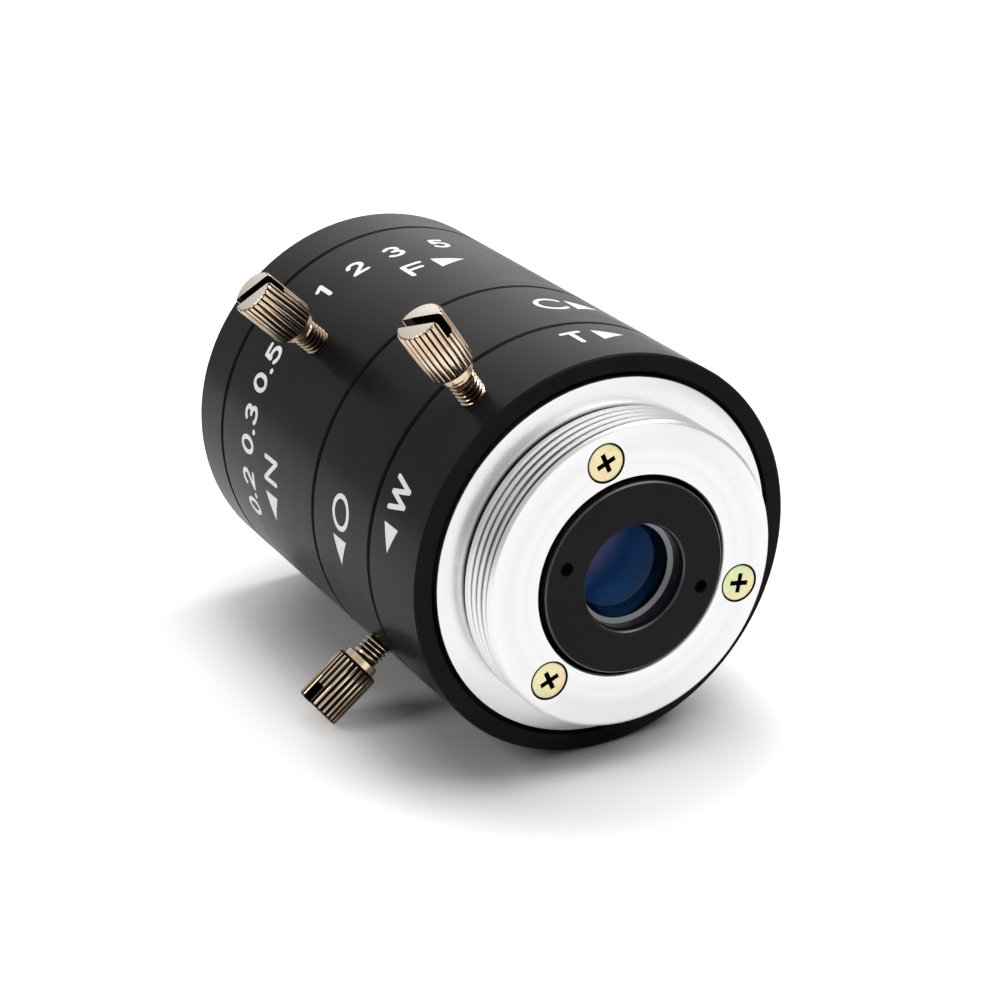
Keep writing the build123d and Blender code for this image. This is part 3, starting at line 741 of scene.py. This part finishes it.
turned_aluminium = bright_metal(
    "turned_aluminium", bright_aluminium_colour, dull_aluminium_colour,
    low=0.25, high=0.28, mark_height=0.0000005, marks_per_mm=6.0,
)
tree = turned_aluminium.node_tree
parts, radius = from_axis(tree, node(tree, "TexCoord").outputs["Object"])
# The roots of the thread are laid over with near-black: painted shade in the grooves.
in_root = spread_value(tree, radius, 1.0, 0.0, (thread_r - 0.25) * mm, (thread_r - 0.12) * mm)
on_side = spread_value(tree, radius, 0.0, 1.0, (core_r - 0.02) * mm, (core_r - 0.01) * mm)
in_thread = math_node(tree, "LESS_THAN", parts.outputs["X"], (thread_end - 0.05) * mm)
overlaid(turned_aluminium, product(tree, in_root, on_side, in_thread), painted_root_shade)
mount.data.materials.clear()
mount.data.materials.append(turned_aluminium)
# Its second finish, the black anodising, goes on the faces inside the three countersinks: painted shade
# round the screw heads.
mount.data.materials.append(satin_black)
for face in mount.data.polygons:
    for clock in screw_clocks:
        axis = Vector((0, -sin(radians(clock)), cos(radians(clock)))) * screw_circle_r * mm
        off_axis = Vector((0, face.center.y, face.center.z)) - axis
        if off_axis.length < sink_r * mm and face.center.x < (thread_length - 0.01) * mm:
            face.material_index = 1
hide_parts("c_mount_adapter")
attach(mount, "fixed_barrel")


# Three countersunk steel screws with a cross recess hold the mount to the barrel. They are
# zinc plated and passivated yellow, a thin pale gold that shifts to pink and green.
cross_turns = (24.0, 23.0, -9.5)
cross_length = 1.85
cross_width = 0.42
cross_depth = 0.95
cross_mouth = (-0.3, 1.05, 1.05)
cross_floor = (cross_depth, 0.42, 0.62)
zinc_gold = (0.90, 0.80, 0.46, 1.0)
zinc_pink = (0.90, 0.68, 0.46, 1.0)
zinc_green = (0.66, 0.82, 0.44, 1.0)
painted_sink_shade = (0.012, 0.011, 0.009, 1.0)


def prism(bm, near, far):
    """Closes two rows of corners into a solid."""
    bm.faces.new(near)
    bm.faces.new(list(reversed(far)))
    for k in range(len(near)):
        n = (k + 1) % len(near)
        bm.faces.new((near[k], far[k], far[n], near[n]))


def wing(name, clock, turn):
    """One wing of the cross recess, from the depth and the shares of its size at either end."""
    bm = bmesh.new()
    rows = []
    for depth, length, width in (cross_mouth, cross_floor):
        x = thread_length - depth
        half_l = cross_length / 2 * length
        half_w = cross_width / 2 * width
        rows.append([
            bm.verts.new((x * mm, a * half_l * mm, b * half_w * mm)) for a, b in square_corners
        ])
    prism(bm, *rows)
    about_screw = Matrix.Rotation(radians(turn - clock), 3, "X")
    about_mount = Matrix.Rotation(radians(clock), 3, "X")
    bmesh.ops.rotate(bm, verts=bm.verts, cent=(0, 0, 0), matrix=about_screw)
    bmesh.ops.translate(bm, verts=bm.verts, vec=(0, 0, screw_circle_r * mm))
    bmesh.ops.rotate(bm, verts=bm.verts, cent=(0, 0, 0), matrix=about_mount)
    bmesh.ops.recalc_face_normals(bm, faces=bm.faces)
    mesh = bpy.data.meshes.new(name)
    bm.to_mesh(mesh)
    bm.free()
    return new_object(name, mesh)


yellow_zinc, tree, shader = new_material("yellow_zinc_plating", Metallic=1.0)
place = node(tree, "TexCoord").outputs["Object"]
tint_a = node(tree, "TexNoise", Vector=place, Scale=520.0, Detail=3.0)
tint_b = node(tree, "TexNoise", Vector=place, Scale=310.0, Detail=2.0, Distortion=0.6)
to_pink = spread_value(tree, tint_a.outputs[0], 0.0, 1.0, 0.45, 0.62)
to_green = spread_value(tree, tint_b.outputs[0], 0.0, 1.0, 0.50, 0.68)
plated = blend_colour(tree, to_green, blend_colour(tree, to_pink, zinc_gold, zinc_pink), zinc_green)
# Below the mount's end face the screws turn near-black: painted shade in the countersinks.
along = node(tree, "SeparateXYZ", Vector=place).outputs["X"]
below_face = spread_value(
    tree, along, 1.0, 0.0, (thread_length - 0.06) * mm, (thread_length - 0.02) * mm,
)
tree.links.new(blend_colour(tree, below_face, plated, painted_sink_shade), shader.inputs["Base Color"])
scuff = node(tree, "TexNoise", Vector=place, Scale=2600.0, Detail=4.0)
tree.links.new(spread_value(tree, scuff.outputs[0], 0.22, 0.42), shader.inputs["Roughness"])
scuff_bump = node(tree, "Bump", Strength=0.5, Distance=0.000004, Height=scuff.outputs[0])
tree.links.new(scuff_bump.outputs[0], shader.inputs["Normal"])

for number, (clock, turn) in enumerate(zip(screw_clocks, cross_turns)):
    top = thread_length
    screw = beside_axis(
        f"mount_screw_{number + 1}",
        [
            (top, 0), (top, screw_head_r - 0.16), (top - 0.05, screw_head_r - 0.06),
            (top - 0.14, screw_head_r), (top - 0.18, screw_head_r - 0.01), (top - 0.90, screw_shank_r),
            (top - screw_reach, screw_shank_r), (top - screw_reach, 0),
        ],
        clock,
    )
    bpy.context.view_layer.update()
    cut_away(screw, [wing(f"wing_a_{number}", clock, turn), wing(f"wing_b_{number}", clock, turn + 90)])
    screw.data.materials.clear()
    screw.data.materials.append(yellow_zinc)
    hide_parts("mount_screws")
    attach(screw, "fixed_barrel")


# A knurled thumb screw on each turning ring locks it. They are turned from brass, slotted,
# knurled straight and plated in a bronzed nickel, and their grooves are painted near-black as shade.
# Each is given by x, clock, the radius of its head's foot, its slot's turn and the depth below
# the crests where that painted shade starts.
lock_screws = (
    ("focus_lock_screw", -26.9, 46.4, 19.55, 61.0, 0.080),
    ("iris_lock_screw", -14.0, 128.6, 19.25, 75.0, 0.030),
    ("zoom_lock_screw", -4.5, 34.1, 19.8, 34.0, 0.090),
)
head_r = 1.97
head_length = 5.0
head_chamfer = 0.25
knurl_count = 24
knurl_depth = 0.17
collar_r = 1.5
collar_length = 0.65
shank_r = 1.15
shank_tip = -4.7
shank_pitch = 0.40
shank_depth = 0.22
slot_width = 0.95
slot_depth = 1.75
slot_reach = 4
nickel_bright = (0.97, 0.80, 0.60, 1.0)
nickel_dull = (0.80, 0.60, 0.42, 1.0)
nickel_dark = (0.014, 0.009, 0.007, 1.0)
painted_top_highlight = (0.93, 0.84, 0.75, 1.0)
dark_reflection_share = 0.85
crest_share = 0.45
crest_fall = 0.28
knurl_samples = (0.0, 0.075, 0.15, 0.225, 0.30, 0.375, 0.45, 0.52, 0.60, 0.66, 0.725, 0.79, 0.85, 0.93)
shank_segments = 72
screw_smooth = 40.0


def knurl_share(share):
    """How far into the groove the knurl is: its crest is a little round, and its root is 1."""
    if share < crest_share:
        return crest_fall * (2 * share / crest_share - 1) ** 2
    dip = 0.5 - 0.5 * cos(2 * pi * (share - crest_share) / (1 - crest_share))
    return crest_fall + (1 - crest_fall) * dip


def knurled_screw(name):
    """A thumb screw along its own Z, with the foot of its head at zero."""
    bm = bmesh.new()
    levels = [
        (0.0, head_r - head_chamfer), (0.08, head_r - 0.12), (head_chamfer, head_r),
        (head_length - head_chamfer, head_r), (head_length - 0.08, head_r - 0.10),
        (head_length, head_r - head_chamfer - 0.02),
    ]
    rings = []
    for z, limit in levels:
        ring = []
        for tooth in range(knurl_count):
            for share in knurl_samples:
                r = min(limit, head_r - knurl_depth * knurl_share(share))
                ring.append(bm.verts.new(about_z(z, r, 2 * pi * (tooth + share) / knurl_count)))
        rings.append(ring)
    for a, b in zip(rings, rings[1:]):
        for k in range(len(a)):
            n = (k + 1) % len(a)
            bm.faces.new((a[k], a[n], b[n], b[k]))
    bm.faces.new(list(reversed(rings[0])))
    bm.faces.new(rings[-1])
    head = new_object(name, finished_mesh(name, bm, screw_smooth))
    bm = bmesh.new()
    floor, mouth = [
        [
            bm.verts.new((a * slot_reach * mm, b * slot_width / 2 * mm, (head_length + level) * mm))
            for a, b in square_corners
        ]
        for level in (-slot_depth, 1.0)
    ]
    prism(bm, mouth, floor)
    cutter = new_object(name + "_slot", finished_mesh(name + "_slot", bm))
    bpy.context.view_layer.update()
    cut_away(head, [cutter], screw_smooth)
    bm = bmesh.new()
    bm.from_mesh(head.data)
    lathe(
        bm,
        [
            (0.02, 0), (0.02, collar_r), (0.08 - collar_length, collar_r),
            (-collar_length, collar_r - 0.08), (-collar_length, shank_r - shank_depth),
            (-collar_length - 0.10, shank_r - shank_depth), (-collar_length - 0.15, shank_r),
        ],
        shank_segments, about_z,
    )
    thread(
        bm, shank_tip + 0.1, -collar_length - 0.15, shank_r, shank_depth, shank_pitch,
        shank_segments, about_z,
    )
    tip = [(shank_tip + 0.1, shank_r), (shank_tip, shank_r - 0.15), (shank_tip, 0)]
    lathe(bm, tip, shank_segments, about_z)
    head.data = finished_mesh(name, bm, screw_smooth)
    return head


def bronzed_nickel(name, x, clock, base, rubbed):
    """Bronzed plating, with painted shade: near-black deeper than rubbed below the crests, and in
    threads.
    """
    made, tree, shader = new_material(name, Metallic=1.0)
    here = node(tree, "TexCoord").outputs["Object"]
    upright = node(
        tree, "VectorRotate", [("rotation_type", "X_AXIS")], Vector=here, Angle=radians(-clock),
    ).outputs[0]
    place = vector_math(tree, "SUBTRACT", i0=upright, i1=(x * mm, 0, base * mm)).outputs[0]
    parts, radius = from_axis(tree, place, "Z")
    height = parts.outputs["Z"]
    # Deeper than rubbed below the crests, the knurl grooves and the roots of the shank's thread are
    # painted near-black: painted shade.
    groove_r = head_r - rubbed
    in_head = math_node(tree, "GREATER_THAN", height, -0.02 * mm)
    in_groove = spread_value(tree, radius, 1.0, 0.0, (groove_r - 0.03) * mm, (groove_r + 0.02) * mm)
    off_top = spread_value(tree, height, 1.0, 0.0, (head_length - 0.10) * mm, (head_length - 0.02) * mm)
    off_foot = spread_value(tree, height, 0.0, 1.0, 0.02 * mm, 0.10 * mm)
    head_groove_shade = product(tree, in_head, in_groove, off_top, off_foot)
    in_thread = spread_value(
        tree, radius, 1.0, 0.0, (shank_r - shank_depth) * mm, (shank_r - 0.04) * mm,
    )
    shank_groove_shade = product(tree, in_thread, math_node(tree, "SUBTRACT", 1.0, in_head))
    turned = node(tree, "CombineXYZ", X=height, Y=parts.outputs["X"], Z=parts.outputs["Y"])
    marks = placed(tree, tool_marks, Place=turned.outputs[0], Marks_per_mm=5.0)
    grain = placed(tree, fine_grain, Place=place, Grain_per_mm=4.0)
    streak = spread_value(tree, marks.outputs["Streak"], 0.0, 1.0)
    tone = blend_colour(tree, streak, nickel_bright, nickel_dull)
    shade_and_dark_reflection = math_node(tree, "MAXIMUM", head_groove_shade, shank_groove_shade)
    # Seen in glossy rays the screw turns mostly near-black: a painted dark reflection of it in the
    # barrel.
    mirrored = product(tree, node(tree, "LightPath").outputs["Is Glossy Ray"], dark_reflection_share)
    shade_and_dark_reflection = math_node(tree, "MAXIMUM", shade_and_dark_reflection, mirrored)
    # The flat top of each head turns pale and half dull, so that it reads lighter: a painted highlight.
    on_top = spread_value(tree, height, 0.0, 1.0, (head_length - 0.03) * mm, (head_length - 0.01) * mm)
    plated = blend_colour(tree, shade_and_dark_reflection, tone, nickel_dark)
    tree.links.new(blend_colour(tree, on_top, plated, painted_top_highlight), shader.inputs["Base Color"])
    tree.links.new(math_node(tree, "MULTIPLY_ADD", on_top, -0.65, 1.0), shader.inputs["Metallic"])
    polished = spread_value(tree, grain.outputs["Drift"], 0.06, 0.12)
    roughness = math_node(tree, "MULTIPLY_ADD", on_top, 0.25, polished)
    tree.links.new(roughness, shader.inputs["Roughness"])
    bump = node(tree, "Bump", Strength=0.6, Distance=0.000001, Height=marks.outputs["Height"])
    tree.links.new(bump.outputs[0], shader.inputs["Normal"])
    return made


for name, x, clock, base, screw_turn, rubbed in lock_screws:
    screw = knurled_screw(name + "_piece")
    screw.data.transform(
        Matrix.Rotation(radians(clock), 4, "X")
        @ Matrix.Translation((x * mm, 0, base * mm))
        @ Matrix.Rotation(radians(screw_turn), 4, "Z")
    )
    screw.data.materials.clear()
    screw.data.materials.append(bronzed_nickel(name + "_nickel", x, clock, base, rubbed))
    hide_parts(name)
    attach(screw, name)


# The cells, spacers, lock rings and the iris cup are matt black inside, to kill stray
# light. The retaining ring at the rear is the one of them that is seen from the mount.
matt_colour = (0.006, 0.006, 0.0065, 1.0)
matt_faded = (0.011, 0.010, 0.011, 1.0)

matt_black = anodised(
    "matt_black_anodising", matt_colour, matt_faded,
    low=0.42, high=0.55, wear=0.1, grain_height=0.000003,
)
dress(
    matt_black, "front_cell", "front_lock_ring", "inner_spacer", "inner_lock_ring", "iris_housing",
    "iris_cover", "rear_cell", "rear_group_lock_ring", "rear_spacer",
)


# The rear retaining ring is black like them, but its lens seat is a bevel that was cut
# after anodising, so a bright ring of bare metal shows round the glass.
bevel_r = 4.37
bevel_x = (2.78, 3.02)
bare_bevel = (0.33, 0.35, 0.37, 1.0)
ring_colour = (0.006, 0.0056, 0.006, 1.0)
ring_faded = (0.010, 0.0095, 0.0098, 1.0)

ring_black = anodised(
    "retaining_ring_black", ring_colour, ring_faded,
    low=0.30, high=0.36, wear=0.8, grain_height=0.000002, gloss=(0.9, 0.12), turn=(0.90, 0.97),
)
tree = ring_black.node_tree
parts, radius = from_axis(tree, node(tree, "TexCoord").outputs["Object"])
narrow = math_node(tree, "LESS_THAN", radius, bevel_r * mm)
deep = math_node(tree, "LESS_THAN", parts.outputs["X"], bevel_x[1] * mm)
shallow = math_node(tree, "GREATER_THAN", parts.outputs["X"], bevel_x[0] * mm)
overlaid(ring_black, product(tree, narrow, deep, shallow), bare_bevel)
dress(ring_black, "rear_retaining_ring")


# The glass: ground and polished elements with an anti-reflection coating. The two at the front
# and the one at the rear are finer meshes, because reflections run over them. The rear coating
# reflects dark blue seen straight on, lilac at a slight slant and a deepening blue beyond it.
coating_tones = (
    (0.000, (0.006, 0.040, 0.160, 1.0)),
    (0.055, (0.030, 0.060, 0.220, 1.0)),
    (0.076, (0.760, 0.710, 1.000, 1.0)),
    (0.088, (0.170, 0.180, 0.400, 1.0)),
    (0.112, (0.140, 0.155, 0.360, 1.0)),
    (0.140, (0.045, 0.085, 0.240, 1.0)),
    (0.165, (0.003, 0.060, 0.215, 1.0)),
    (0.280, (0.000, 0.050, 0.200, 1.0)),
    (0.380, (0.000, 0.012, 0.060, 1.0)),
)
coating_gain = 6.0
bowl_steps = 18
lens_segments = 128
lens_smooth = 25.0


def coated_glass(name, **plain):
    """Clear glass whose coating gives its reflections a colour."""
    made, tree, shader = new_material(name, Transmission_Weight=1.0, Specular_IOR_Level=0.9, **plain)
    place = node(tree, "TexCoord").outputs["Object"]
    smear = node(tree, "TexNoise", Vector=place, Scale=260.0, Detail=4.0)
    roughness = spread_value(tree, smear.outputs[0], 0.0, 0.002, 0.45, 0.75)
    tree.links.new(roughness, shader.inputs["Roughness"])
    return made


front_glass = coated_glass(
    "front_coated_glass", IOR=1.6, Specular_Tint=(0.45, 0.9, 0.65, 1), Base_Color=(0.97, 0.99, 0.98, 1),
)
rear_glass = coated_glass("rear_coated_glass", IOR=1.46, Base_Color=(0.002, 0.035, 0.10, 1))
tree = rear_glass.node_tree
turned_away = node(tree, "LayerWeight", Blend=0.5).outputs["Facing"]
hues = node(tree, "ValToRGB", Fac=turned_away)
for stop, (place_on_it, hue) in enumerate(coating_tones):
    mark = hues.color_ramp.elements[stop] if stop < 2 else hues.color_ramp.elements.new(place_on_it)
    mark.position = place_on_it
    mark.color = hue
strong_hues = vector_math(tree, "SCALE", i0=hues.outputs[0], Scale=coating_gain)
tree.links.new(strong_hues.outputs[0], tree.nodes["Principled BSDF"].inputs["Specular Tint"])
dress(front_glass, "third_lens", "fourth_lens", "doublet_front_lens", "doublet_rear_lens")


def sag(curve, r):
    """How far a face with this radius of curvature has fallen back at r from the axis."""
    return abs(curve) - sqrt(curve**2 - r**2)


def bowl(edge_along, clear_r, curve, way):
    """Profile of a ground face from its rim to the axis. way is -1 at the front, +1 at the rear."""
    out = way if curve > 0 else -way
    apex = edge_along + out * sag(curve, clear_r)
    radii = [clear_r * (1 - k / bowl_steps) for k in range(bowl_steps + 1)]
    return [(apex - out * sag(curve, r), r) for r in radii]


def ground_lens(name, node_name, body, front, rear, edge_r, front_face, rear_face, material):
    """A polished element that stands for a plainer solid.

    Its rims are at front and rear, and each face is (clear radius, radius of curvature).
    """
    bm = bmesh.new()
    clear, curve = front_face
    profile = list(reversed(bowl(front, clear, curve, -1))) + [(front, edge_r), (rear, edge_r)]
    clear, curve = rear_face
    profile += bowl(rear, clear, curve, 1)
    lathe(bm, profile, lens_segments, about_x)
    made = new_object(name, finished_mesh(name, bm, lens_smooth))
    made.data.materials.append(material)
    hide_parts(node_name)
    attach(made, body)


ground_lens(
    "rear_element", "rear_lens", "rear_group", front=-0.976, rear=1.824, edge_r=7.1,
    front_face=(6.0, 35.0), rear_face=(6.0, 14.008), material=rear_glass,
)
ground_lens(
    "front_element", "front_lens", "front_group", front=-38.65, rear=-36.55, edge_r=11.6,
    front_face=(9.5, 60.0), rear_face=(9.5, -22.0), material=front_glass,
)
ground_lens(
    "second_element", "second_lens", "front_group", front=-34.25, rear=-30.25, edge_r=9.0,
    front_face=(8.0, -30.0), rear_face=(8.0, -20.0), material=front_glass,
)


# The iris has six thin blackened steel blades in a brass drive ring, and the pins that
# carry the two groups of glass are hard steel.
blade_steel = bright_metal(
    "blackened_steel", bright=(0.060, 0.060, 0.066, 1), dull=(0.035, 0.034, 0.038, 1),
    low=0.30, high=0.45, mark_height=0.000001, marks_per_mm=3.0,
)
pin_steel = bright_metal(
    "pin_steel", bright=(0.62, 0.62, 0.64, 1), dull=(0.48, 0.48, 0.50, 1),
    low=0.2, high=0.35, mark_height=0.000001, marks_per_mm=6.0,
)
plain_brass = bright_metal(
    "plain_brass", bright=(0.80, 0.60, 0.28, 1), dull=(0.66, 0.48, 0.22, 1),
    low=0.25, high=0.4, mark_height=0.000001, marks_per_mm=6.0,
)
dress(blade_steel, *[f"iris_blade_{k}" for k in range(1, 7)])
dress(pin_steel, "focus_follower_pin", "zoom_follower_pin", "iris_drive_pin")
dress(plain_brass, "iris_drive_ring")
